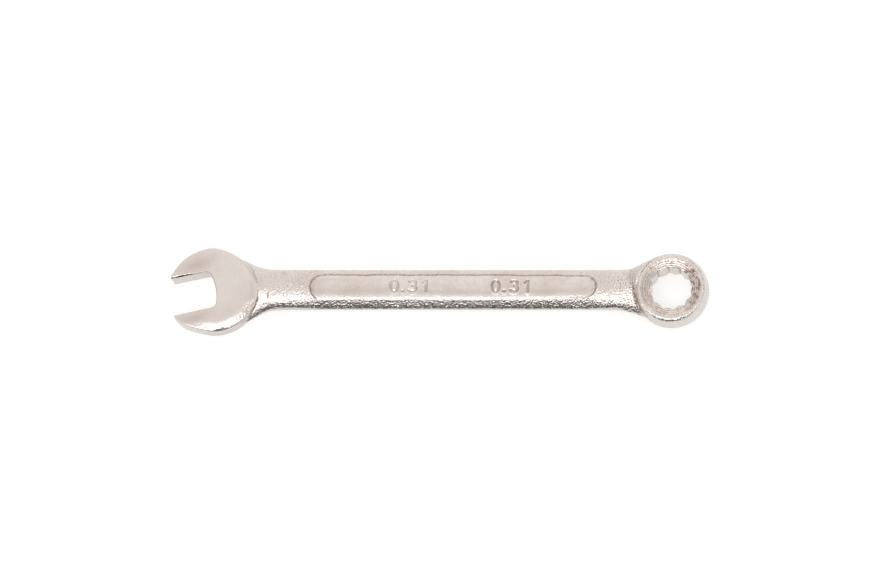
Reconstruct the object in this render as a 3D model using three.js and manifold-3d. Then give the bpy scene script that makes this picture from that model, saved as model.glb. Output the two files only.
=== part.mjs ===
// Combination wrench, 5/16 inch: open end, oval shank with a sunk panel, 12-point box end.
// Millimetres, +Z up. The wrench lies flat with its box end towards +X.
import * as THREE from 'three';
import { mergeVertices } from 'three/addons/utils/BufferGeometryUtils.js';
import Module from 'manifold-3d';

const wasm = await Module();
wasm.setup();

const acrossFlats = 7.94;          // the 5/16 inch nut
const slack = 0.1;                 // what the throat and the hole have over the nut
const grip = (acrossFlats + slack) / 2;
const past = 1;                    // how far a cutter runs past what it cuts

// Shank: an oval bar
const shank = {
  start: -33,                      // here the open end's neck takes over
  end: 37.5,                       // and here the box end's
  halfWidth: 4.42,
  halfHeight: 2.2,
};
const ovalPower = 2.3;             // 2 gives an ellipse, more a squarer oval
const ovalPoints = 36;

// The long panel sunk into both faces of the shank. Its floor is an oval too, inside the shank's.
const panel = {
  start: -27.2,
  end: 33.7,
  halfWidth: 2.86,
  middle: 0.1,             // above the shank's own middle line
  floorHalfWidth: 4.25,
  floorHalfHeight: 1.98,
  arcPoints: 8,
};

// Open end: a disc with its throat turned off the shank's line
const disc = { halfHeight: 2.45, rimRounding: 0.45, roundingSteps: 2, curvePoints: 5 };
const upperTip = [-57, 2.5];
const lowerTip = [-56.1, -6.4];
const discCurve = [                // clockwise from the upper jaw's tip
  upperTip, [-53.8, 6.5], [-48.3, 8.75], [-43, 6.95], [-39.6, 3.5], [-38.2, -1],
  [-39.6, -5.2], [-42.4, -8.15], [-46.9, -9.8], [-53.4, -8.3], lowerTip,
];
const throat = {
  angle: 12.5 * Math.PI / 180,
  nutX: -51.7,
  nutY: -1.2,
  back: 4.6,                       // from the nut's centre to the back wall
  bow: 0.8,                        // how far the back wall bows away from the nut
  mouth: 14,
};

// The open end's neck flares from the shank to the disc, more below than above.
const neck = {
  steps: 9,
  end: -41.8,
  buriedEnd: -46,                  // inside the disc
  buriedShare: 0.6,
  blend: 0.9,
  upper: { start: -37.4, slope: 0.5 },
  lower: { start: -36.2, slope: 0.64 },
};

// Box end: a ring with convex walls, a turned cone on either face and a 12-point hole
const ring = {
  x: 49.55,
  y: -0.2,
  halfHeight: 2.9,
  radius: 7.95,                    // at mid height
  rimOuter: 7.3,                   // the flat rim, where the ring can lie on a plane
  rimInner: 6.42,
  wallPower: 2.2,
  wallSteps: 6,
  facets: 48,
};
const hole = {
  points: 12,
  turn: 8.5 * Math.PI / 180,       // one point's direction, from the shank's line
  halfHeight: 2.4,
  coneFoot: 4.25,
};

// The box end's neck swells a little before it enters the ring's wall.
const boxNeck = {
  end: 43.2,
  steps: 5,
  lowerGrowth: 1.35,
  upperGrowth: 0.5,
  heightGrowth: 0.1,
  buriedEnd: 46,                   // inside the wall, or cut away with the hole
  buriedShare: 0.8,
};

function toSolid(geometry) {
  const bare = geometry.clone();
  bare.deleteAttribute('normal');
  bare.deleteAttribute('uv');
  const merged = mergeVertices(bare, 1e-4);
  return new wasm.Manifold(new wasm.Mesh({
    numProp: 3,
    vertProperties: new Float32Array(merged.attributes.position.array),
    triVerts: new Uint32Array(merged.index.array),
  }));
}

function toGeometry(solid) {
  const mesh = solid.getMesh();
  const geometry = new THREE.BufferGeometry();
  geometry.setAttribute('position', new THREE.BufferAttribute(mesh.vertProperties, 3));
  geometry.setIndex(new THREE.BufferAttribute(mesh.triVerts, 1));
  geometry.computeVertexNormals();
  return geometry;
}

// A closed skin over sections that follow one another along +X, with a fan at either end.
function loft(sections) {
  const count = sections[0].length;
  const positions = sections.flat().flatMap((point) => point.toArray());
  const index = [];
  for (let i = 0; i + 1 < sections.length; i += 1) {
    for (let j = 0; j < count; j += 1) {
      const a = i * count + j;
      const b = i * count + (j + 1) % count;
      index.push(a, b, a + count, b, b + count, a + count);
    }
  }
  const last = (sections.length - 1) * count;
  for (let j = 1; j + 1 < count; j += 1) {
    index.push(0, j + 1, j);
    index.push(last, last + j, last + j + 1);
  }
  const geometry = new THREE.BufferGeometry();
  geometry.setAttribute('position', new THREE.Float32BufferAttribute(positions, 3));
  geometry.setIndex(index);
  return toSolid(geometry);
}

const rounded = (value) => Math.sign(value) * Math.abs(value) ** (2 / ovalPower);

// An oval section at x, whose sides towards +Y and -Y may have widths of their own
function oval(x, upper, lower, halfHeight) {
  return Array.from({ length: ovalPoints }, (_, i) => {
    const turn = 2 * Math.PI * i / ovalPoints;
    const across = Math.cos(turn);
    const y = rounded(across) * (across > 0 ? upper : lower);
    return new THREE.Vector3(x, y, rounded(Math.sin(turn)) * halfHeight);
  });
}

const shankSection = (x) => oval(x, shank.halfWidth, shank.halfWidth, shank.halfHeight);

// A flat outline made a plate between two heights
function plate(shape, bottom, top, curveSegments) {
  const geometry = new THREE.ExtrudeGeometry(shape, {
    depth: top - bottom, bevelEnabled: false, curveSegments,
  });
  geometry.translate(0, 0, bottom);
  return toSolid(geometry);
}

// A profile of [radius, height] turned about the ring's axis
function turned(profile) {
  const points = profile.map(([radius, height]) => new THREE.Vector2(radius, height));
  const geometry = new THREE.LatheGeometry(points, ring.facets);
  geometry.rotateX(Math.PI / 2);
  geometry.translate(ring.x, ring.y, 0);
  return toSolid(geometry);
}

function makeShank() {
  const outline = new THREE.Shape();
  const r = panel.halfWidth;
  outline.absarc(panel.end - r, panel.middle, r, -Math.PI / 2, Math.PI / 2, false);
  outline.absarc(panel.start + r, panel.middle, r, Math.PI / 2, 3 * Math.PI / 2, false);
  const above = shank.halfHeight + past;
  const floorSection = (x) => (
    oval(x, panel.floorHalfWidth, panel.floorHalfWidth, panel.floorHalfHeight)
  );
  const pockets = plate(outline, -above, above, panel.arcPoints)
    .subtract(loft([floorSection(panel.start - past), floorSection(panel.end + past)]));
  return loft([shankSection(shank.start), shankSection(shank.end)]).subtract(pockets);
}

function makeDisc() {
  const [start, ...rest] = discCurve.map(([x, y]) => new THREE.Vector2(x, y));
  const outline = new THREE.Shape([start]);
  outline.splineThru(rest);
  outline.closePath();
  const round = disc.rimRounding;
  const geometry = new THREE.ExtrudeGeometry(outline, {
    depth: 2 * (disc.halfHeight - round),
    curveSegments: disc.curvePoints,
    bevelThickness: round,
    bevelSize: round,
    bevelOffset: -round,
    bevelSegments: disc.roundingSteps,
  });
  geometry.translate(0, 0, round - disc.halfHeight);
  return toSolid(geometry);
}

// How much wider than the shank one side of the neck is at x
const flare = (x, side) => (
  side.slope * neck.blend * Math.log1p(Math.exp((side.start - x) / neck.blend))
);

function makeOpenNeck() {
  const sections = [shankSection(shank.start)];
  let upper = 0;
  let lower = 0;
  for (let i = 1; i <= neck.steps; i += 1) {
    const x = THREE.MathUtils.lerp(shank.start, neck.end, i / neck.steps);
    upper = shank.halfWidth + flare(x, neck.upper);
    lower = shank.halfWidth + flare(x, neck.lower);
    sections.unshift(oval(x, upper, lower, shank.halfHeight));
  }
  const share = neck.buriedShare;
  sections.unshift(oval(neck.buriedEnd, upper * share, lower * share, shank.halfHeight * share));
  return loft(sections);
}

// The throat: two flats that grip the nut and a bowed back wall, open to the mouth
function makeThroatCutter() {
  const corner = throat.back - throat.bow;
  const bowRadius = (grip ** 2 + throat.bow ** 2) / (2 * throat.bow);
  const halfTurn = Math.asin(grip / bowRadius);
  const outline = new THREE.Shape();
  outline.moveTo(-throat.mouth, -grip);
  outline.lineTo(corner, -grip);
  outline.absarc(throat.back - bowRadius, 0, bowRadius, -halfTurn, halfTurn, false);
  outline.lineTo(-throat.mouth, grip);
  outline.closePath();
  const height = disc.halfHeight + past;
  return plate(outline, -height, height, disc.curvePoints)
    .rotate([0, 0, THREE.MathUtils.radToDeg(throat.angle)])
    .translate([throat.nutX, throat.nutY, 0]);
}

function makeRingBody() {
  const profile = [];
  for (let i = -ring.wallSteps; i <= ring.wallSteps; i += 1) {
    const rise = i / ring.wallSteps;
    const taper = (ring.radius - ring.rimOuter) * Math.abs(rise) ** ring.wallPower;
    profile.push([ring.radius - taper, rise * ring.halfHeight]);
  }
  return turned([[0, -ring.halfHeight], ...profile, [0, ring.halfHeight]]);
}

// Where the ring is hollow: a toothed hole, with a cone opening out of it to either rim
function makeHoleCutter() {
  const top = ring.halfHeight + past;
  const coneHead = ring.rimInner
    + past * (ring.rimInner - hole.coneFoot) / (ring.halfHeight - hole.halfHeight);
  const cone = turned([[0, hole.halfHeight], [hole.coneFoot, hole.halfHeight], [coneHead, top], [0, top]]);
  const teeth = new THREE.Shape();
  const corner = grip / Math.cos(Math.PI / 6);
  const valley = grip / Math.cos(Math.PI / hole.points);
  for (let i = 0; i < 2 * hole.points; i += 1) {
    const turn = hole.turn + Math.PI * i / hole.points;
    const reach = i % 2 === 0 ? corner : valley;
    const x = ring.x + reach * Math.cos(turn);
    const y = ring.y + reach * Math.sin(turn);
    if (i === 0) teeth.moveTo(x, y);
    else teeth.lineTo(x, y);
  }
  teeth.closePath();
  return plate(teeth, -top, top, 1).add(cone).add(cone.mirror([0, 0, 1]));
}

function makeBoxNeck() {
  const sections = [];
  let upper = 0;
  let lower = 0;
  let height = 0;
  for (let i = 0; i <= boxNeck.steps; i += 1) {
    const share = i / boxNeck.steps;
    upper = shank.halfWidth + boxNeck.upperGrowth * share ** 3;
    lower = shank.halfWidth + boxNeck.lowerGrowth * share ** 1.5;
    height = shank.halfHeight + boxNeck.heightGrowth * share;
    sections.push(oval(THREE.MathUtils.lerp(shank.end, boxNeck.end, share), upper, lower, height));
  }
  const share = boxNeck.buriedShare;
  sections.push(oval(boxNeck.buriedEnd, upper * share, lower * share, height * share));
  return loft(sections);
}

const forged = new THREE.MeshStandardMaterial({ color: 0xd6cbc3, roughness: 0.42, metalness: 1 });
const machined = new THREE.MeshStandardMaterial({ color: 0xe0d8d0, roughness: 0.28, metalness: 1 });
const grained = new THREE.MeshStandardMaterial({ color: 0xcdbfb4, roughness: 0.55, metalness: 1 });

function piece(name, solid, material) {
  const mesh = new THREE.Mesh(toGeometry(solid), material);
  mesh.name = name;
  return mesh;
}

const wrench = new THREE.Group();
wrench.add(
  piece('open_end_head', makeDisc().add(makeOpenNeck()).subtract(makeThroatCutter()), forged),
  piece('shank', makeShank(), grained),
  piece('box_end_head', makeRingBody().add(makeBoxNeck()).subtract(makeHoleCutter()), machined),
);

// The origin goes under the middle of the whole wrench, on the plane that it lies on.
const size = new THREE.Box3().setFromObject(wrench);
const middle = size.getCenter(new THREE.Vector3());
wrench.position.set(-middle.x, -middle.y, -size.min.z);

export default wrench;
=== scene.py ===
import math
import bmesh
import bpy
import numpy as np
from mathutils import Matrix, Vector


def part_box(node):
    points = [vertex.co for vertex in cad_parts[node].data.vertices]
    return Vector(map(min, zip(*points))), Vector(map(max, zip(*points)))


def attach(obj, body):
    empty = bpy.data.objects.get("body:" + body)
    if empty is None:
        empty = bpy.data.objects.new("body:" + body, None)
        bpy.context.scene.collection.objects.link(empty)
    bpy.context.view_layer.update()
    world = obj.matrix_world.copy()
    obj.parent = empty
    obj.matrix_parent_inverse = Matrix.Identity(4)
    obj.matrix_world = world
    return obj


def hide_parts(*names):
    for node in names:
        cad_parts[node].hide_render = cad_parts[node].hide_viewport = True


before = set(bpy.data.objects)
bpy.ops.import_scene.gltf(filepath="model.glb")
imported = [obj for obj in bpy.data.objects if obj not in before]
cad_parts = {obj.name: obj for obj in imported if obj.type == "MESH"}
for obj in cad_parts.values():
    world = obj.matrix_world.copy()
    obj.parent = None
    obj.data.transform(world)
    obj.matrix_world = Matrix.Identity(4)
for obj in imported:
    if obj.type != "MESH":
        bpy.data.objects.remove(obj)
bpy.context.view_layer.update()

mm = 0.001

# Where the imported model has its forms, in millimetres
headLow, headHigh = [np.array(corner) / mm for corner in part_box("open_end_head")]
barLow, barHigh = [np.array(corner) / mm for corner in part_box("shank")]
ringLow, ringHigh = [np.array(corner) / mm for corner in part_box("box_end_head")]
barY = (barLow[1] + barHigh[1]) / 2
midZ = (ringLow[2] + ringHigh[2]) / 2
openSeam, boxSeam = barLow[0], barHigh[0]
ringRadius = (ringHigh[1] - ringLow[1]) / 2
ringX = ringHigh[0] - ringRadius
ringY = (ringLow[1] + ringHigh[1]) / 2
seamOverlap = 1.0     # how far each skin runs past its seam before it is cut there
print("frame read: bar", barLow, barHigh)


# The forged shapes are rules: each is below zero inside the metal and above zero outside it
def roundIntersection(a, b, radius):
    lift = np.hypot(np.maximum(a + radius, 0), np.maximum(b + radius, 0))
    return np.minimum(np.maximum(a, b), -radius) + lift


def roundUnion(a, b, radius):
    dip = np.hypot(np.maximum(radius - a, 0), np.maximum(radius - b, 0))
    return np.maximum(np.minimum(a, b), radius) - dip


def smoothStep(value, start, end):
    t = np.clip((value - start) / (end - start), 0, 1)
    return t * t * (3 - 2 * t)


def ovalRule(y, z, upper, lower, halfHeight, power):
    width = np.where(y > 0, upper, lower)
    ay, az = np.abs(y) / width + 1e-6, np.abs(z) / halfHeight + 1e-6
    level = (ay ** power + az ** power) ** (1 / power)
    slopeY = (ay / level) ** (power - 1) / width
    slopeZ = (az / level) ** (power - 1) / halfHeight
    return (level - 1) / np.hypot(slopeY, slopeZ)


def outlineRule(x, y, points):
    # signed distance to a closed outline of straight steps
    nearest, inside = None, None
    for (ax, ay), (bx, by) in zip(points, np.roll(points, -1, axis=0)):
        dx, dy = bx - ax, by - ay
        t = np.clip(((x - ax) * dx + (y - ay) * dy) / (dx * dx + dy * dy), 0, 1)
        gap = (x - ax - t * dx) ** 2 + (y - ay - t * dy) ** 2
        crosses = ((ay > y) != (by > y)) & (x < ax + (y - ay) * dx / (dy if dy else 1e-9))
        nearest = gap if nearest is None else np.minimum(nearest, gap)
        inside = crosses if inside is None else inside ^ crosses
    return np.sqrt(nearest) * np.where(inside, -1, 1)


def splinePoints(corners, steps):
    # the curve through the corners, left open where the throat is
    corners = np.array(corners, float)
    last = len(corners) - 1
    curve = []
    for i in range(last):
        before, after = corners[max(i - 1, 0)], corners[min(i + 2, last)]
        start, end = corners[i], corners[i + 1]
        leave, arrive = (end - before) / 2, (after - start) / 2
        for t in np.arange(steps) / steps:
            curve.append((2 * t**3 - 3 * t**2 + 1) * start + (t**3 - 2 * t**2 + t) * leave
                         + (3 * t**2 - 2 * t**3) * end + (t**3 - t**2) * arrive)
    return np.array(curve + [corners[last]])


bar = {
    "halfWidth": (barHigh[1] - barLow[1]) / 2,
    "halfHeight": (barHigh[2] - barLow[2]) / 2,
    "ovalPower": 2.3,
    "landAngle": math.radians(33),   # beside the panel the bar falls away more steeply
    "landTop": (2.82, 1.57),
    "landBlend": 0.35,
    "landLift": 0.4,                 # how far the land rises clear past the panel's ends
    "landFade": (2.5, 3),            # the length this takes, outside and inside each end
    "step": 0.15,
}
panel = {
    "start": 5.8,                # from the open end's seam
    "end": 66.7,
    "halfWidth": 2.86,
    "drift": (0.1, 0.28),        # how far its middle lies above the bar's, at each end
    "floorHalfWidth": 4.25,      # the floor is an oval of its own
    "floorHalfHeight": 1.95,
    "floorPower": 2.5,
    "taper": 0.42,               # how much narrower it gets towards the box end
    "taperStart": 40,
    "edge": 0.06,
    "foot": 0.12,
    "endDepth": 0.08,            # the die dug deeper round both ends
    "endSpan": (0.6, 2),         # and came back up over this length
    "digSpan": (-1.1, -0.3),     # it dug only this near the panel's edge
    "groove": (0.14, 0.0),       # along the panel's upper edge, and its lower one
    "grooveWidth": 0.21,
    "waves": ((0.05, 0.55, 1.2), (0.04, 1.31, 0.4)),   # swell and sway: height, pace and start
    "grain": 0.16,
}
stamp = {
    "places": (27.6, 49.2),      # middles, from the open end's seam
    "height": 2.35,
    "stroke": 0.31,
    "depths": (0.08, 0.14),      # the left one is worn
    "burr": 0.04,
    "lift": 0.35,                # above the panel's middle line
}


def strokePoints(start, end, centre, size, steps=8):
    turns = np.radians(np.linspace(start, end, steps + 1))
    return [(centre[0] + size[0] * math.cos(t), centre[1] + size[1] * math.sin(t)) for t in turns]


# a plain decimal size, drawn in strokes one unit high
digits = [
    strokePoints(0, 360, (-1.6, 0), (0.34, 0.5), 14),
    [(-0.84, -0.46), (-0.8, -0.46)],
    strokePoints(150, -80, (0.05, 0.25), (0.3, 0.25)) + strokePoints(80, -150, (0.05, -0.23), (0.34, 0.27)),
    [(1.05, 0.3), (1.3, 0.5), (1.3, -0.5)],
]


def panelRule(x, y):
    share = smoothStep(x - openSeam, panel["taperStart"], panel["end"])
    radius = panel["halfWidth"] - panel["taper"] * share
    y = y - panel["drift"][0] - (panel["drift"][1] - panel["drift"][0]) * share
    start = openSeam + panel["start"] + panel["halfWidth"]
    end = openSeam + panel["end"] - panel["halfWidth"] + panel["taper"]
    away = x - np.clip(x, start, end)
    swell, sway = [height * np.sin(x * pace + shift) for height, pace, shift in panel["waves"]]
    wave = swell + sway * np.sign(y)
    return np.hypot(away, y) - radius - wave


def stampRule(x, y):
    # how deep the digits cut at a place on the panel, with a low burr beside each stroke
    cut = 0
    for place, depth in zip(stamp["places"], stamp["depths"]):
        across = (x - openSeam - place) / stamp["height"]
        up = (y - stamp["lift"]) / stamp["height"]
        nearest = 9
        for stroke in digits:
            for (ax, ay), (bx, by) in zip(stroke, stroke[1:]):
                dx, dy = bx - ax, by - ay
                t = np.clip(((across - ax) * dx + (up - ay) * dy) / (dx * dx + dy * dy), 0, 1)
                nearest = np.minimum(nearest, np.hypot(across - ax - t * dx, up - ay - t * dy))
        share = nearest * stamp["height"] / stamp["stroke"]
        cut = cut + depth * (1 - smoothStep(share, 0.3, 1.2))
        cut = cut - stamp["burr"] * np.exp(-((share - 1.7) / 0.5) ** 2) * depth / stamp["depths"][1]
    return cut


def barRule(x, y, z):
    y, z = y - barY, z - midZ
    body = ovalRule(y, z, bar["halfWidth"], bar["halfWidth"], bar["halfHeight"], bar["ovalPower"])
    edge = panelRule(x, y)
    along = x - openSeam
    outside, inside = bar["landFade"]
    beside = smoothStep(along, panel["start"] - outside, panel["start"] + inside)
    beside = beside * (1 - smoothStep(along, panel["end"] - inside, panel["end"] + outside))
    landY, landZ = bar["landTop"]
    angle = bar["landAngle"]
    land = (np.abs(y) - landY) * math.sin(angle) + (np.abs(z) - landZ) * math.cos(angle)
    body = roundIntersection(body, land - bar["landLift"] * (1 - beside), bar["landBlend"])
    upperGroove, lowerGroove = panel["groove"]
    groove = lowerGroove + (upperGroove - lowerGroove) * smoothStep(y, -1.5, 1.5)
    body = body + groove * np.exp(-(edge / panel["grooveWidth"]) ** 2)
    floor = ovalRule(y, z, panel["floorHalfWidth"], panel["floorHalfWidth"],
                     panel["floorHalfHeight"], panel["floorPower"])
    near, far = panel["endSpan"]
    ends = 1 - smoothStep(along, panel["start"] + near, panel["start"] + far)
    ends = ends + smoothStep(along, panel["end"] - far, panel["end"] - near)
    floor = floor + panel["endDepth"] * ends * smoothStep(edge, *panel["digSpan"])
    floor = floor + np.where(z > 0, stampRule(x, y), 0)
    pocket = roundIntersection(edge, -floor, panel["foot"])
    return roundIntersection(body, -pocket, panel["edge"])


def barGrain(x, y, z):
    inPanel = 1 - smoothStep(panelRule(x, y - barY), -0.5, 0.1)
    onFace = smoothStep(np.abs(z - midZ), 1.2, 1.6)
    return 1 - (1 - panel["grain"]) * inPanel * onFace


openEnd = {
    "disc": [(-24, 2.5), (-20.8, 6.5), (-15.3, 8.75), (-10, 6.95), (-6.6, 3.5), (-5.2, -1),
             (-6.6, -5.2), (-9.4, -8.15), (-13.9, -9.8), (-20.4, -8.3), (-23.1, -6.4)],
    "discSteps": 6,
    "discHalfHeight": (headHigh[2] - headLow[2]) / 2,
    "edge": (0.12, 0.34, 0.05),    # at the jaws' tips, towards the neck, and in its middle
    "jawSpan": (-21, -13),         # from the seam, where the jaws grow out of the disc
    "lowerSpan": (0.5, 5),         # below the bar's line, where upper side turns into lower side
    "droop": (0.22, 0.62),         # how far the face falls to its rim, above and below
    "droopWidth": (1.5, 2.6),
    "middleSpan": (0.8, 3.4),      # to each side, where the face runs level into the neck
    "middleFrom": (-12, -9),       # and from the seam
    "dent": (-12.8, 1.5, 0.45),    # where the lower rim is rounded more
    "shoulder": (0.4, 0.04),       # fillet to the neck, at its sides and in its middle
    "neckBlend": 0.9,
    "neckPower": 1.55,             # its lower side is more like a roof
    "roofAlong": (0.3, 5),         # where that sets in, from the seam
    "roofBelow": (-0.2, 0.6),      # and below the bar's line
    "upperFlare": (4.4, 0.5),      # start beyond the seam, slope
    "lowerFlare": (3.2, 0.64),
    "flareEnd": 8.8,
    "jawAngle": math.radians(12.5),
    "nut": (-18.7, -1.2),          # the nut's centre, from the seam and the bar's line
    "grip": 4.02,
    "back": 4.6,
    "bow": 0.8,
    "backCorner": 0.8,
    "jawEdge": 0.14,
    "chamfer": (0.05, 0.34),       # along the upper jaw, and at its tip
    "chamferTip": (-20.4, -18.4),  # from the seam, where the chamfer narrows
    "ripple": (0.25, 4.1, 1.7),    # of the chamfer: height, and its two paces
    "crease": 0.12,
    "creaseWidth": 0.13,
    "nick": (3.1, -1.6),           # a short cut across the neck
    "nickSize": (0.14, 0.75, 0.11),
    "grain": 0.08,
    "rimGrain": 0.9,
    "neckGrain": 0.75,
    "step": 0.13,
}
discPoints = splinePoints(openEnd["disc"], openEnd["discSteps"])


def discRule(x, y):
    return outlineRule(x - openSeam, y, discPoints)


def throatRule(x, y):
    angle, (nutX, nutY) = openEnd["jawAngle"], openEnd["nut"]
    x, y = x - openSeam - nutX, y - nutY
    along = x * math.cos(angle) + y * math.sin(angle)
    across = y * math.cos(angle) - x * math.sin(angle)
    back = along - openEnd["back"] + openEnd["bow"] * (across / openEnd["grip"]) ** 2
    return roundIntersection(np.abs(across) - openEnd["grip"], back, openEnd["backCorner"])


def neckWidth(reach, flare):
    start, slope = flare
    blend = openEnd["neckBlend"]
    reach = np.minimum(reach, openEnd["flareEnd"])
    return bar["halfWidth"] + slope * blend * np.log1p(np.exp((reach - start) / blend))


def openNeckRule(x, y, z):
    reach = openSeam - x
    upper, lower = [neckWidth(reach, openEnd[side]) for side in ("upperFlare", "lowerFlare")]
    roof = smoothStep(reach, *openEnd["roofAlong"]) * smoothStep(-y, *openEnd["roofBelow"])
    power = bar["ovalPower"] + (openEnd["neckPower"] - bar["ovalPower"]) * roof
    neck = ovalRule(y, z, upper, lower, bar["halfHeight"], power)
    return np.maximum(neck, reach - openEnd["flareEnd"] - 2)


def creaseRule(x, y, z):
    # the fold where the disc's lower side meets the neck
    away = discRule(x, y)
    fold = np.exp(-((away - 0.2) / openEnd["creaseWidth"]) ** 2)
    return fold * smoothStep(-y, 1.2, 2.6) * smoothStep(np.abs(z), 0.7, 1.2)


def openEndRule(x, y, z):
    y, z = y - barY, z - midZ
    away = discRule(x, y)
    toNeck = smoothStep(x - openSeam, *openEnd["jawSpan"])
    below = smoothStep(-y, *openEnd["lowerSpan"])
    fall, width = [upper + (lower - upper) * below
                   for upper, lower in (openEnd["droop"], openEnd["droopWidth"])]
    droop = fall * (0.04 + 0.96 * toNeck) * np.clip(1 + away / width, 0, 1.2) ** 2
    atNeck = 1 - smoothStep(np.abs(y + 0.3), *openEnd["middleSpan"])
    atNeck = atNeck * smoothStep(x - openSeam, *openEnd["middleFrom"])
    flush = (openEnd["discHalfHeight"] - bar["halfHeight"]) * smoothStep(away, -2.2, -0.1)
    droop = droop + (flush - droop) * atNeck
    tipEdge, neckEdge, middleEdge = openEnd["edge"]
    edge = tipEdge + (neckEdge - tipEdge) * toNeck
    edge = edge + (middleEdge - edge) * atNeck
    dentX, dentWidth, dentDepth = openEnd["dent"]
    dent = np.exp(-((x - openSeam - dentX) / dentWidth) ** 4) * smoothStep(-y, 4, 7)
    edge = edge + dentDepth * dent
    disc = roundIntersection(away, np.abs(z) - openEnd["discHalfHeight"] + droop, edge)
    atSides, inMiddle = openEnd["shoulder"]
    shoulder = 0.02 + (atSides + (inMiddle - atSides) * atNeck) * smoothStep(away, -0.9, 0)
    solid = roundUnion(disc, openNeckRule(x, y, z), shoulder)
    solid = np.maximum(solid, np.abs(z) - openEnd["discHalfHeight"])
    nickX, nickY = openEnd["nick"]
    nickWidth, nickLength, nickDepth = openEnd["nickSize"]
    nick = np.exp(-((openSeam - nickX - x + 0.08 * (y - nickY)) / nickWidth) ** 2)
    nick = nick * np.exp(-((y - nickY) / nickLength) ** 4) * (z > 0)
    solid = solid + openEnd["crease"] * creaseRule(x, y, z) + nickDepth * nick
    throat = throatRule(x, y)
    along, atTip = openEnd["chamfer"]
    leg = along + (atTip - along) * (1 - smoothStep(x - openSeam, *openEnd["chamferTip"]))
    ripple, quick, slow = openEnd["ripple"]
    uneven = 1 + ripple * np.sin(x * quick) * np.sin(x * slow)
    leg = leg * smoothStep(y, -1.5, 0) * (z > 0) * uneven
    slant = (np.abs(z) - openEnd["discHalfHeight"] - throat + leg) * math.sqrt(0.5)
    return np.maximum(roundIntersection(solid, -throat, openEnd["jawEdge"]), slant)


def openEndGrain(x, y, z):
    away = discRule(x, y - barY)
    rim = openEnd["rimGrain"] * smoothStep(away, -2.2, -0.8) * smoothStep(barY - y, 1, 4)
    onDisc = openEnd["grain"] + rim * smoothStep(x - openSeam, -20, -15)
    neck = 1 + (openEnd["neckGrain"] - 1) * smoothStep(openSeam - x, 0.5, 4)
    return onDisc + (neck - onDisc) * smoothStep(away, -0.6, 0.5)


boxEnd = {
    "halfHeight": (ringHigh[2] - ringLow[2]) / 2,
    "rimOuter": 7.18,
    "rimInner": 6.42,
    "wallPower": 2.2,
    "crest": (0.42, 0.18),         # rounding of the rim, broad and at its sharpest
    "crestSharp": (math.radians(52), math.radians(20)),    # its place to both sides, and spread
    "coneFoot": 4.25,
    "coneFootHeight": 2.4,
    "coneEdge": 0.06,
    "turn": math.radians(8.5),     # one point's direction, from the bar's line
    "grip": 4.02,
    "toothEdge": 0.07,
    "neckLength": 5.7,
    "lowerGrowth": 1.35,
    "upperGrowth": 0.5,
    "heightGrowth": 0.1,
    "neckPower": 1.75,             # its lower side is more like a roof
    "roofAlong": (0.2, 3.5),       # where that sets in, from the seam
    "roofBelow": (-0.6, 0.4),      # and below the bar's line
    "fillet": (0.45, 2.6),         # at the neck's lower side, and its upper one
    "grain": 0.4,
    "crestGrain": 0.7,
    "crestWidth": 0.4,
    "neckGrain": 1.15,
    "linePitch": 0.46,
    "lineDepth": 0.034,
    "step": 0.105,
}


def holeRule(x, y):
    # a hexagon, and another turned by half of the way to its next corner
    reach = []
    for start in (0, 30):
        flats = []
        for turn in (30, 90, 150):
            angle = boxEnd["turn"] + math.radians(start + turn)
            flats.append(np.abs(x * math.cos(angle) + y * math.sin(angle)))
        reach.append(np.maximum(np.maximum(*flats[:2]), flats[2]) - boxEnd["grip"])
    return np.minimum(*reach)


def coneRule(radius, height):
    rise = ((boxEnd["halfHeight"] - boxEnd["coneFootHeight"])
            / (boxEnd["rimInner"] - boxEnd["coneFoot"]))
    level = boxEnd["coneFootHeight"] + (radius - boxEnd["coneFoot"]) * rise
    return (height - level) / math.hypot(1, rise)


def boxNeckRule(x, y, z):
    share = np.clip((x - boxSeam) / boxEnd["neckLength"], 0, 1)
    upper = bar["halfWidth"] + boxEnd["upperGrowth"] * share ** 3
    lower = bar["halfWidth"] + boxEnd["lowerGrowth"] * share ** 1.5
    height = bar["halfHeight"] + boxEnd["heightGrowth"] * share
    roof = smoothStep(x - boxSeam, *boxEnd["roofAlong"]) * smoothStep(-y, *boxEnd["roofBelow"])
    power = bar["ovalPower"] + (boxEnd["neckPower"] - bar["ovalPower"]) * roof
    neck = ovalRule(y, z, upper, lower, height, power)
    return np.maximum(neck, x - boxSeam - boxEnd["neckLength"] - 1)


def boxEndRule(x, y, z):
    z = z - midZ
    height = np.abs(z)
    radius = np.hypot(x - ringX, y - ringY)
    share = np.minimum(height / boxEnd["halfHeight"], 1.1)
    wall = ringRadius - (ringRadius - boxEnd["rimOuter"]) * share ** boxEnd["wallPower"]
    broad, sharp = boxEnd["crest"]
    centre, spread = boxEnd["crestSharp"]
    side = np.abs(np.arctan2(x - ringX, ringY - y))
    crest = broad + (sharp - broad) * np.exp(-((side - centre) / spread) ** 2)
    body = roundIntersection(radius - wall, height - boxEnd["halfHeight"], crest)
    under, above = boxEnd["fillet"]
    fillet = under + (above - under) * smoothStep(y - barY, -1.2, 3)
    fillet = 0.02 + fillet * smoothStep(radius, ringRadius - 1.5, ringRadius - 0.3)
    body = roundUnion(body, boxNeckRule(x, y - barY, z), fillet)
    body = np.maximum(body, height - boxEnd["halfHeight"])
    body = roundIntersection(body, coneRule(radius, height), boxEnd["coneEdge"])
    return roundIntersection(body, -holeRule(x - ringX, y - ringY), boxEnd["toothEdge"])


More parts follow.
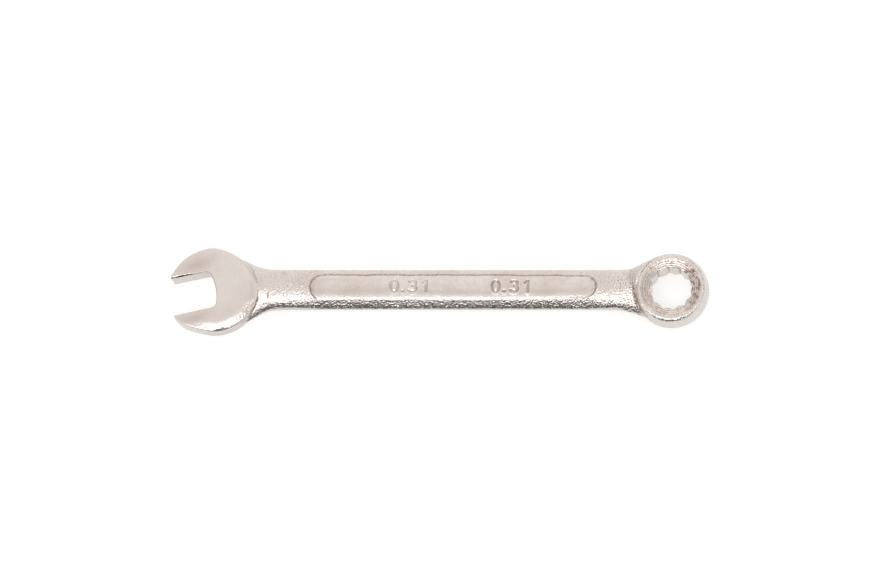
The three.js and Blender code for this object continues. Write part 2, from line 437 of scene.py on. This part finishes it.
def boxEndGrain(x, y, z):
    radius = np.hypot(x - ringX, y - ringY)
    neck = 1 + (boxEnd["neckGrain"] - 1) * smoothStep(x - boxSeam, 0.5, 3)
    nearCrest = np.exp(-((radius - boxEnd["rimOuter"]) / boxEnd["crestWidth"]) ** 2)
    onRing = boxEnd["grain"] + boxEnd["crestGrain"] * nearCrest
    return onRing + (neck - onRing) * smoothStep(radius, ringRadius - 0.4, ringRadius + 0.5)


def turnedMask(x, y, z):
    radius = np.hypot(x - ringX, y - ringY)
    inCone = smoothStep(radius, boxEnd["coneFoot"] - 0.2, boxEnd["coneFoot"] + 0.2)
    inCone = inCone * (1 - smoothStep(radius, boxEnd["rimInner"] - 0.3, boxEnd["rimInner"] - 0.05))
    foot = boxEnd["coneFootHeight"]
    return inCone * smoothStep(np.abs(z - midZ), foot - 0.3, foot)


def slopeOf(rule, points, reach=0.004):
    here = rule(*points.T)
    slope = np.empty_like(points)
    for axis in range(3):
        moved = points.copy()
        moved[:, axis] += reach
        slope[:, axis] = (rule(*moved.T) - here) / reach
    return here, slope


def settle(rule, points, step, rounds):
    for _ in range(rounds):
        here, slope = slopeOf(rule, points)
        shift = -here[:, None] * slope / np.maximum((slope ** 2).sum(1), 0.05)[:, None]
        size = np.linalg.norm(shift, axis=1)[:, None]
        points = points + shift * np.minimum(1, 0.6 * step / np.maximum(size, 1e-9))
    return points


def skin(rule, low, high, step):
    # a net of squares laid over the rule's zero surface, one corner in each crossed cell
    axes = [np.arange(a - 2 * step, b + 3 * step, step) for a, b in zip(low, high)]
    grid = np.ix_(*axes)
    level = rule(*grid)
    inside = level < 0
    cells = tuple(n - 1 for n in level.shape)
    corners = [(i, j, k) for i in (0, 1) for j in (0, 1) for k in (0, 1)]
    filled = sum(inside[i:i + cells[0], j:j + cells[1], k:k + cells[2]].astype(np.int8)
                 for i, j, k in corners)
    crossed = (filled > 0) & (filled < 8)
    where = np.argwhere(crossed)
    ids = np.full(cells, -1, np.int64)
    ids[crossed] = np.arange(len(where))
    total, hits = np.zeros((len(where), 3)), np.zeros(len(where))
    for a in corners:
        for axis in range(3):
            if a[axis]:
                continue
            b = list(a)
            b[axis] = 1
            va = level[tuple((where + a).T)]
            vb = level[tuple((where + b).T)]
            cut = (va < 0) != (vb < 0)
            t = np.where(cut, va / np.where(cut, va - vb, 1), 0)
            point = np.array(a) + t[:, None] * (np.array(b) - a)
            total += point * cut[:, None]
            hits += cut
    points = (where + total / hits[:, None]) * step + [axis[0] for axis in axes]
    quads = []
    for axis in range(3):
        first, second = (axis + 1) % 3, (axis + 2) % 3
        ahead = np.roll(inside, -1, axis)
        changed = inside != ahead
        for side in range(3):
            cut = [slice(None)] * 3
            cut[side] = slice(-1, None)
            changed[tuple(cut)] = False
        for side in (first, second):
            cut = [slice(None)] * 3
            cut[side] = slice(0, 1)
            changed[tuple(cut)] = False
        spots = np.argwhere(changed)
        ring = []
        for da, db in ((1, 1), (0, 1), (0, 0), (1, 0)):
            cell = spots.copy()
            cell[:, first] -= da
            cell[:, second] -= db
            ring.append(ids[tuple(cell.T)])
        ring = np.stack(ring, 1)
        outward = inside[tuple(spots.T)]
        quads.append(np.where(outward[:, None], ring, ring[:, ::-1]))
    quads = np.concatenate(quads)
    # draw the corners onto the surface, then even them out along it
    points = settle(rule, points, step, 3)
    for _ in range(3):
        pull, count = np.zeros_like(points), np.zeros(len(points))
        for a, b in ((0, 1), (1, 2), (2, 3), (3, 0)):
            np.add.at(pull, quads[:, a], points[quads[:, b]])
            np.add.at(pull, quads[:, b], points[quads[:, a]])
            np.add.at(count, quads[:, a], 1)
            np.add.at(count, quads[:, b], 1)
        points = settle(rule, points + 0.5 * (pull / count[:, None] - points), step, 2)
    return points, quads


def addNode(tree, kind, inputs=(), **settings):
    node = tree.nodes.new(kind)
    for key, value in settings.items():
        setattr(node, key, value)
    for key, value in dict(inputs).items():
        if isinstance(value, bpy.types.NodeSocket):
            tree.links.new(value, node.inputs[key])
        else:
            node.inputs[key].default_value = value
    return node


def calc(tree, operation, a, b=0.0):
    return addNode(tree, "ShaderNodeMath", {0: a, 1: b}, operation=operation).outputs[0]


def makeSkinTree():
    # grain, slow rolls and turned lines, pushed out of the forged skin along its normals
    tree = bpy.data.node_groups.new("forgedSkin", "GeometryNodeTree")
    tree.interface.new_socket("Geometry", in_out="INPUT", socket_type="NodeSocketGeometry")
    for name in ("grainSize", "grainDepth", "rollSize", "rollDepth", "linePitch", "lineDepth", "seed"):
        tree.interface.new_socket(name, in_out="INPUT", socket_type="NodeSocketFloat")
    tree.interface.new_socket("lineCentre", in_out="INPUT", socket_type="NodeSocketVector")
    tree.interface.new_socket("finish", in_out="INPUT", socket_type="NodeSocketMaterial")
    tree.interface.new_socket("Geometry", in_out="OUTPUT", socket_type="NodeSocketGeometry")
    given = addNode(tree, "NodeGroupInput").outputs
    place = addNode(tree, "GeometryNodeInputPosition").outputs[0]

    def bumps(size, depth, detail):
        noise = addNode(tree, "ShaderNodeTexNoise", {
            "Vector": place, "W": given["seed"], "Scale": calc(tree, "DIVIDE", 1.0, size),
            "Detail": detail, "Roughness": 0.6}, noise_dimensions="4D")
        return calc(tree, "MULTIPLY", calc(tree, "SUBTRACT", noise.outputs[0], 0.75), depth)

    def mask(name):
        return addNode(tree, "GeometryNodeInputNamedAttribute", {"Name": name}).outputs["Attribute"]

    grain = calc(tree, "MULTIPLY", bumps(given["grainSize"], given["grainDepth"], 2.0), mask("grain"))
    rolls = calc(tree, "MULTIPLY", bumps(given["rollSize"], given["rollDepth"], 1.0), mask("grain"))
    fromCentre = addNode(tree, "ShaderNodeVectorMath", {0: place, 1: given["lineCentre"]},
                         operation="SUBTRACT").outputs[0]
    flat = addNode(tree, "ShaderNodeVectorMath", {0: fromCentre, 1: (1, 1, 0)}, operation="MULTIPLY")
    radius = addNode(tree, "ShaderNodeVectorMath", {0: flat.outputs[0]}, operation="LENGTH")
    turns = calc(tree, "DIVIDE", radius.outputs["Value"], given["linePitch"])
    lines = calc(tree, "SINE", calc(tree, "MULTIPLY", turns, 2 * math.pi))
    lines = calc(tree, "MULTIPLY", calc(tree, "SUBTRACT", lines, 1.0), given["lineDepth"])
    lines = calc(tree, "MULTIPLY", lines, mask("turned"))
    push = calc(tree, "ADD", calc(tree, "ADD", grain, rolls), lines)
    normal = addNode(tree, "GeometryNodeInputNormal").outputs[0]
    offset = addNode(tree, "ShaderNodeVectorMath", {0: normal, "Scale": push}, operation="SCALE")
    moved = addNode(tree, "GeometryNodeSetPosition",
                    {"Geometry": given["Geometry"], "Offset": offset.outputs[0]})
    real = addNode(tree, "GeometryNodeRealizeInstances", {"Geometry": moved.outputs[0]})
    dressed = addNode(tree, "GeometryNodeSetMaterial",
                      {"Geometry": real.outputs[0], "Material": given["finish"]})
    addNode(tree, "NodeGroupOutput", {"Geometry": dressed.outputs[0]})
    return tree


skinTree = makeSkinTree()
skinInputs = {item.name: item.identifier for item in skinTree.interface.items_tree
              if item.in_out == "INPUT"}
# what the skin tree is given for all three pieces
grain = {
    "grainSize": 0.4 * mm,
    "grainDepth": 0.21 * mm,
    "rollSize": 2.2 * mm,
    "rollDepth": 0.07 * mm,
    "linePitch": boxEnd["linePitch"] * mm,
    "lineDepth": boxEnd["lineDepth"] * mm / 2,
    "lineCentre": (ringX * mm, ringY * mm, 0),
    "seed": 3.7,
}
print("skin tree made with", len(skinInputs), "inputs")


stainsAndShade = {
    "coneBase": 0.3,               # share of painted brown shade in the whole cone
    "coneSide": 0.8,               # painted shade, heavier on the side away from the bar
    "coneTurn": math.radians(28),
    "mouth": (0.55, 0.09),         # strength and width of the line round the cone's mouth
    "heel": (1.3, 0.42),           # painted shadow where the neck meets the ring's lower side
    "heelTurn": math.radians(204),
    "fold": 0.9,
    "jawShadeSpots": ((-18.2, 5.0), (-18.6, -6.9)),    # painted shade on the jaws, from the seam and the bar's line
    "paintedShade": 0.42,
    "jawShadeReach": (3.2, 1.3),
    "lip": (0.85, 0.17),           # painted shade along the throat's edge
    "upperLine": (0.4, 0.26),      # painted shade along the panel's upper edge
    "shadeBand": (0.17, 0.55),        # a painted shade band along the panel, a little below its middle
    "shadeBandPlace": (0.85, 0.3, 0.13, 0.6),       # depth below, height, pace and start of its waves
}


def stainAndShadeRule(x, y, z):
    # painted shade in brown: over the cone, heaviest on the side away from the bar, a brown line round its
    # mouth, a painted shadow where the neck meets the ring's lower side, and painted shade in the folds
    radius, angle = np.hypot(x - ringX, y - ringY), np.arctan2(y - ringY, x - ringX)
    towards = np.clip(np.cos(angle - stainsAndShade["coneTurn"]) + 0.05, 0, 1)
    cone = turnedMask(x, y, z) * (stainsAndShade["coneBase"] + stainsAndShade["coneSide"] * towards)
    strength, width = stainsAndShade["mouth"]
    mouth = strength * np.exp(-((radius - boxEnd["rimInner"]) / width) ** 2)
    mouth = mouth * (np.abs(z - midZ) > 2.2)
    # painted shadow where the neck steps up to the ring's lower side
    strength, width = stainsAndShade["heel"]
    heel = np.exp(-((radius - ringRadius + 0.05) / width) ** 2) * smoothStep(z - midZ, 0.8, 1.5)
    heel = strength * heel * smoothStep(np.cos(angle - stainsAndShade["heelTurn"]), 0.82, 0.96)
    # painted shade in the fold where the disc's lower side meets the neck
    fold = stainsAndShade["fold"] * creaseRule(x, y - barY, z - midZ) * (x < openSeam)
    return np.maximum(np.maximum(cone, mouth), np.maximum(fold, np.minimum(heel, 1)))


def paintedShadeRule(x, y, z):
    # painted shade in brown: soft on both jaws, along the edges of the throat and the panel, and a band in
    # the panel
    paintedShade = 0
    reachAlong, reachAcross = stainsAndShade["jawShadeReach"]
    # painted shade on both jaws
    for shadeX, shadeY in stainsAndShade["jawShadeSpots"]:
        along, across = x - openSeam - shadeX, y - barY - shadeY
        across = across - 0.25 * along
        spot = np.exp(-(along / reachAlong) ** 2 - (across / reachAcross) ** 2)
        paintedShade = paintedShade + stainsAndShade["paintedShade"] * spot * (z > midZ + 2.3)
    # painted shade along the throat's edge
    strength, width = stainsAndShade["lip"]
    lip = np.exp(-(throatRule(x, y - barY) / width) ** 2) * smoothStep(z - midZ, 2.1, 2.3)
    paintedShade = np.maximum(paintedShade, strength * lip * (x < openSeam))
    onBar = (x > openSeam) & (x < boxSeam) & (z > midZ)
    edge = panelRule(x, y - barY)
    # painted shade along the panel's upper edge
    strength, width = stainsAndShade["upperLine"]
    upperLine = strength * np.exp(-(edge / width) ** 2) * smoothStep(y - barY, 0.5, 1.5)
    # a painted shade band, wandering along the panel a little below its middle
    below, height, pace, shift = stainsAndShade["shadeBandPlace"]
    wander = y - barY + below + height * np.sin(pace * x + shift)
    strength, width = stainsAndShade["shadeBand"]
    shadeBand = strength * np.exp(-(wander / width) ** 2) * (edge < -0.3)
    return np.maximum(paintedShade, np.maximum(upperLine, shadeBand) * onBar)


def setMask(mesh, name, values):
    mask = mesh.attributes.get(name) or mesh.attributes.new(name, "FLOAT", "POINT")
    mask.data.foreach_set("value", np.asarray(values, np.float32))


bends = {"wear": (0.35, 0.15), "hollowTone": (0.5, 0.22)}    # strength, and what is too little to show


def addBendMasks(mesh):
    # where the skin bends out, for wear, and where it bends in, for a darker, rougher tone
    count = len(mesh.vertices)
    points, normals = np.empty(count * 3), np.empty(count * 3)
    mesh.vertices.foreach_get("co", points)
    mesh.vertices.foreach_get("normal", normals)
    points, normals = points.reshape(-1, 3) / mm, normals.reshape(-1, 3)
    edges = np.empty(len(mesh.edges) * 2, np.int64)
    mesh.edges.foreach_get("vertices", edges)
    a, b = edges.reshape(-1, 2).T

    def spread(value):
        total = np.zeros((count,) + value.shape[1:])
        np.add.at(total, a, value[b])
        np.add.at(total, b, value[a])
        return total

    touching = spread(np.ones(count))
    reach = ((points[a] - points[b]) ** 2).sum(1).mean()
    pull = spread(points) / touching[:, None] - points
    bend = (pull * normals).sum(1) / reach * 4
    for _ in range(2):
        bend = (bend + spread(bend) / touching) / 2
    for name, outwards in (("wear", -bend), ("hollowTone", bend)):
        strength, least = bends[name]
        setMask(mesh, name, np.clip(outwards * strength - least, 0, 1))


def buildPiece(name, rule, grainRule, low, high, step, seams, finish):
    points, quads = skin(rule, low, high, step)
    mesh = bpy.data.meshes.new(name)
    mesh.from_pydata((points * mm).tolist(), [], quads.tolist())
    setMask(mesh, "grain", grainRule(*points.T))
    setMask(mesh, "turned", turnedMask(*points.T))
    # brown painted shade in the cone, the folds and under the ring, with a brown line round the cone's
    # mouth
    setMask(mesh, "stainAndShade", stainAndShadeRule(*points.T))
    # painted shade on the jaws, along the throat and along the panel
    setMask(mesh, "paintedShade", paintedShadeRule(*points.T))
    rough = bpy.data.objects.new(name + "Rough", mesh)
    bpy.context.scene.collection.objects.link(rough)
    modifier = rough.modifiers.new("forgedSkin", "NODES")
    modifier.node_group = skinTree
    for key, value in {**grain, "finish": finish}.items():
        modifier[skinInputs[key]] = value
    evaluated = rough.evaluated_get(bpy.context.evaluated_depsgraph_get())
    mesh = bpy.data.meshes.new_from_object(evaluated)
    bpy.data.objects.remove(rough)
    addBendMasks(mesh)
    shape = bmesh.new()
    shape.from_mesh(mesh)
    for face in shape.faces:
        face.smooth = True
    for seamX, side in seams:
        everything = shape.verts[:] + shape.edges[:] + shape.faces[:]
        bmesh.ops.bisect_plane(shape, geom=everything, plane_co=(seamX * mm, 0, 0),
                               plane_no=(side, 0, 0), clear_outer=True)
        rim = [edge for edge in shape.edges if edge.is_boundary]
        for edge in rim:
            edge.smooth = False
        bmesh.ops.edgeloop_fill(shape, edges=rim)
    bmesh.ops.triangulate(shape, faces=[face for face in shape.faces if len(face.verts) > 4])
    triangles = sum(len(face.verts) - 2 for face in shape.faces)
    shape.to_mesh(mesh)
    shape.free()
    mesh.name = name
    piece = bpy.data.objects.new(name, mesh)
    bpy.context.scene.collection.objects.link(piece)
    print(name, triangles, "triangles")
    return piece


plate = {
    "satin_plate": {"tones": ((0.66, 0.63, 0.61), (0.60, 0.56, 0.535)), "rough": (0.26, 0.38),
                    "mottle": 0.12, "grainBump": 0.5, "hollowTone": (0.30, 0.20, 0.14)},
    "grained_plate": {"tones": ((0.66, 0.63, 0.61), (0.59, 0.55, 0.52)), "rough": (0.16, 0.32),
                      "mottle": 0.25, "grainBump": 1.0, "hollowTone": (0.26, 0.19, 0.15)},
    "turned_plate": {"tones": ((0.68, 0.65, 0.63), (0.63, 0.585, 0.56)), "rough": (0.2, 0.32),
                     "mottle": 0.12, "grainBump": 0.8, "hollowTone": (0.28, 0.18, 0.13)},
}
plating = {
    "broad": 7,                    # sizes of its patches, in millimetres
    "mottled": 0.9,
    "fine": 0.16,
    "sand": 0.34,
    "sandDepth": 0.08,
    "fineDepth": 0.008,
    # brown of the painted shade in the cone, folds and heel, and of the line round the cone's mouth
    "stainAndShade": (0.18, 0.12, 0.088, 1),
    # brown of the painted shade on the jaws and along the panel
    "paintedShade": (0.30, 0.215, 0.165, 1),
    "worn": (0.84, 0.82, 0.80, 1),
}


def makeFinish(name):
    look = plate[name]
    material = bpy.data.materials.new(name)
    material.use_nodes = True
    tree = material.node_tree
    shader = tree.nodes["Principled BSDF"]
    place = addNode(tree, "ShaderNodeTexCoord").outputs["Object"]

    def noise(size, detail, roughness=0.55):
        return addNode(tree, "ShaderNodeTexNoise", {
            "Vector": place, "Scale": 1 / (size * mm), "Detail": detail, "Roughness": roughness}).outputs[0]

    def spread(value, low, high, start=0.0, end=1.0):
        return addNode(tree, "ShaderNodeMapRange", {
            0: value, 1: low, 2: high, 3: start, 4: end}).outputs[0]

    def mix(share, a, b):
        return addNode(tree, "ShaderNodeMix", {0: share, 6: a, 7: b}, data_type="RGBA").outputs[2]

    def mask(name):
        return addNode(tree, "ShaderNodeAttribute", attribute_name=name).outputs["Fac"]

    broad, fine = noise(plating["broad"], 3), noise(plating["fine"], 2)
    mottled = noise(plating["mottled"], 4, 0.65)
    light, dark = [tone + (1,) for tone in look["tones"]]
    colour = mix(spread(broad, 0.38, 0.66), light, dark)
    blotch = calc(tree, "MULTIPLY", spread(mottled, 0.5, 0.72), look["mottle"])
    colour = mix(blotch, colour, tuple(0.72 * part for part in look["tones"][1]) + (1,))
    # brown painted shade in the cone, folds and heel, then painted shade on the jaws and along the panel
    stainAndShade = calc(tree, "MULTIPLY", mask("stainAndShade"), spread(mottled, 0.44, 0.57, 0.12, 1.0))
    colour = mix(stainAndShade, colour, plating["stainAndShade"])
    paintedShade = calc(tree, "MULTIPLY", mask("paintedShade"), spread(fine, 0.3, 0.65, 0.45, 1.0))
    colour = mix(paintedShade, colour, plating["paintedShade"])
    # darker and rougher where the skin bends in
    hollowTone = calc(tree, "MULTIPLY", mask("hollowTone"), spread(mottled, 0.3, 0.6, 0.35, 0.85))
    colour = mix(hollowTone, colour, look["hollowTone"] + (1,))
    wear = calc(tree, "MULTIPLY", mask("wear"), spread(fine, 0.3, 0.6, 0.3, 0.8))
    wear = calc(tree, "MULTIPLY", wear, calc(tree, "SUBTRACT", 1.0, mask("paintedShade")))
    colour = mix(wear, colour, plating["worn"])
    tree.links.new(colour, shader.inputs["Base Color"])
    roughness = spread(mottled, 0.35, 0.7, *look["rough"])
    roughness = calc(tree, "SUBTRACT", roughness, calc(tree, "MULTIPLY", wear, 0.08))
    roughness = calc(tree, "ADD", roughness, calc(tree, "MULTIPLY", hollowTone, 0.2))
    tree.links.new(roughness, shader.inputs["Roughness"])
    shader.inputs["Metallic"].default_value = 1
    sand = calc(tree, "MULTIPLY", noise(plating["sand"], 3), calc(tree, "ADD", mask("grain"), 0.25))
    low = addNode(tree, "ShaderNodeBump", {
        "Strength": look["grainBump"], "Distance": plating["sandDepth"] * mm, "Height": sand})
    high = addNode(tree, "ShaderNodeBump", {
        "Strength": look["grainBump"], "Distance": plating["fineDepth"] * mm, "Height": fine,
        "Normal": low.outputs[0]})
    tree.links.new(high.outputs[0], shader.inputs["Normal"])
    print("finish made:", name)
    return material


margin = np.array([0, 0.3, 0.3])     # how far each net reaches past its form's box
openPiece = buildPiece("openEnd", openEndRule, openEndGrain, headLow - margin,
                       headHigh + margin + [seamOverlap, 0, 0], openEnd["step"], [(openSeam, 1)],
                       makeFinish("satin_plate"))
barPiece = buildPiece("bar", barRule, barGrain, barLow - margin - [seamOverlap, 0, 0],
                      barHigh + margin + [seamOverlap, 0, 0], bar["step"],
                      [(openSeam, -1), (boxSeam, 1)], makeFinish("grained_plate"))
boxPiece = buildPiece("boxEnd", boxEndRule, boxEndGrain, ringLow - margin - [seamOverlap, 0, 0],
                      ringHigh + margin, boxEnd["step"], [(boxSeam, -1)], makeFinish("turned_plate"))

for piece, node, slot in ((openPiece, "open_end_head", "satin_plate"),
                          (barPiece, "shank", "grained_plate"),
                          (boxPiece, "box_end_head", "turned_plate")):
    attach(piece, "root")
    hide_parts(node)
print("pieces finished and placed on their nodes")


# the studio, in metres and degrees
floorLook = {"size": 3, "drop": 0.0002, "tone": 0.5, "rough": 0.9, "glow": 0.63}
frontLight = {"tilt": 24, "span": 31, "sides": (-23, 15), "distance": 0.6, "radiance": 2.5}
view = {
    "towards": (0.11, -0.26, 0.96),      # from the wrench to the camera
    "lens": 250,
    "width": 0.1842,                     # of the frame, at the wrench
    "middle": -0.00089,                  # of the frame, along the wrench
}
room = {
    "tint": (1, 0.94, 0.91),
    "offset": 0.06,                      # its middle lies a little to the left
    "sideways": ((0.16, 1.14), (0.5, 0.7), (0.78, 0.74), (0.92, 1.14)),   # from the middle out
    "depthSpan": (-0.2, 0.6),
    "depth": ((0.27, 1.04), (0.42, 0.8), (0.55, 1.03), (0.68, 1.07)),     # from front to back
    "darkSpan": (-0.58, -0.7),
    "dark": (0.09, 0.085, 0.08, 1),
}


def makeFloor():
    size = floorLook["size"]
    mesh = bpy.data.meshes.new("floor")
    mesh.from_pydata([(-size, -size, 0), (size, -size, 0), (size, size, 0), (-size, size, 0)],
                     [], [(0, 1, 2, 3)])
    floor = bpy.data.objects.new("floor", mesh)
    floor.location.z = -floorLook["drop"]
    bpy.context.scene.collection.objects.link(floor)
    material = bpy.data.materials.new("floor")
    material.use_nodes = True
    shader = material.node_tree.nodes["Principled BSDF"]
    shader.inputs["Base Color"].default_value = (floorLook["tone"],) * 3 + (1,)
    shader.inputs["Roughness"].default_value = floorLook["rough"]
    shader.inputs["Emission Color"].default_value = (1, 1, 1, 1)
    shader.inputs["Emission Strength"].default_value = floorLook["glow"]
    mesh.materials.append(material)


def makeLight(name, tilt, span, sides, distance, radiance):
    # a panel at a tilt from overhead towards the front, in degrees, square to the wrench
    light = bpy.data.lights.new(name, "AREA")
    light.shape = "RECTANGLE"
    low, high = [distance * math.tan(math.radians(side)) for side in sides]
    light.size = high - low
    light.size_y = 2 * distance * math.tan(math.radians(span / 2))
    light.energy = radiance * light.size * light.size_y * math.pi
    lamp = bpy.data.objects.new(name, light)
    angle = math.radians(tilt)
    lamp.location = ((low + high) / 2, -distance * math.sin(angle), distance * math.cos(angle))
    lamp.rotation_euler = (-angle, 0, 0)
    lamp.visible_camera = False
    bpy.context.scene.collection.objects.link(lamp)


def makeCamera():
    towards = Vector(view["towards"]).normalized()
    right = (Vector((1, 0, 0)) - towards * towards.x).normalized()
    up = towards.cross(right)
    data = bpy.data.cameras.new("camera")
    data.lens = view["lens"]
    camera = bpy.data.objects.new("camera", data)
    target = Vector((view["middle"], barY * mm, midZ * mm))
    place = target + towards * view["width"] / data.sensor_width * view["lens"]
    turn = Matrix((right, up, towards)).transposed().to_4x4()
    camera.matrix_world = Matrix.Translation(place) @ turn
    data.clip_end = 10
    bpy.context.scene.collection.objects.link(camera)
    bpy.context.scene.camera = camera


def setStops(ramp, stops, tint):
    while len(ramp.color_ramp.elements) < len(stops):
        ramp.color_ramp.elements.new(0.5)
    for element, (place, tone) in zip(ramp.color_ramp.elements, stops):
        element.position = place
        element.color = tuple(tone * part for part in tint) + (1,)


def makeWorld():
    # a pale warm room, dimmer part of the way to each side, and dark low in front of the wrench
    world = bpy.data.worlds.new("studio")
    world.use_nodes = True
    tree = world.node_tree
    way = addNode(tree, "ShaderNodeTexCoord").outputs["Generated"]
    parts = addNode(tree, "ShaderNodeSeparateXYZ", {0: way}).outputs
    sideways = calc(tree, "ABSOLUTE", calc(tree, "ADD", parts[0], room["offset"]))
    ramp = addNode(tree, "ShaderNodeValToRGB", {0: sideways})
    setStops(ramp, room["sideways"], room["tint"])
    front, back = room["depthSpan"]
    depth = addNode(tree, "ShaderNodeMapRange", {0: parts[1], 1: front, 2: back}).outputs[0]
    faint = addNode(tree, "ShaderNodeValToRGB", {0: depth})
    setStops(faint, room["depth"], (1, 1, 1))
    lit = addNode(tree, "ShaderNodeMix", {0: 1.0, 6: ramp.outputs[0], 7: faint.outputs[0]},
                  data_type="RGBA", blend_type="MULTIPLY")
    start, end = room["darkSpan"]
    low = addNode(tree, "ShaderNodeMapRange", {0: parts[1], 1: start, 2: end},
                  interpolation_type="SMOOTHSTEP")
    tone = addNode(tree, "ShaderNodeMix", {0: low.outputs[0], 6: lit.outputs[2], 7: room["dark"]},
                   data_type="RGBA")
    tree.links.new(tone.outputs[2], tree.nodes["Background"].inputs["Color"])
    return world


makeFloor()
makeLight("front", **frontLight)
makeCamera()
bpy.context.scene.world = makeWorld()
bpy.context.scene.view_settings.view_transform = "Standard"
print("studio ready")
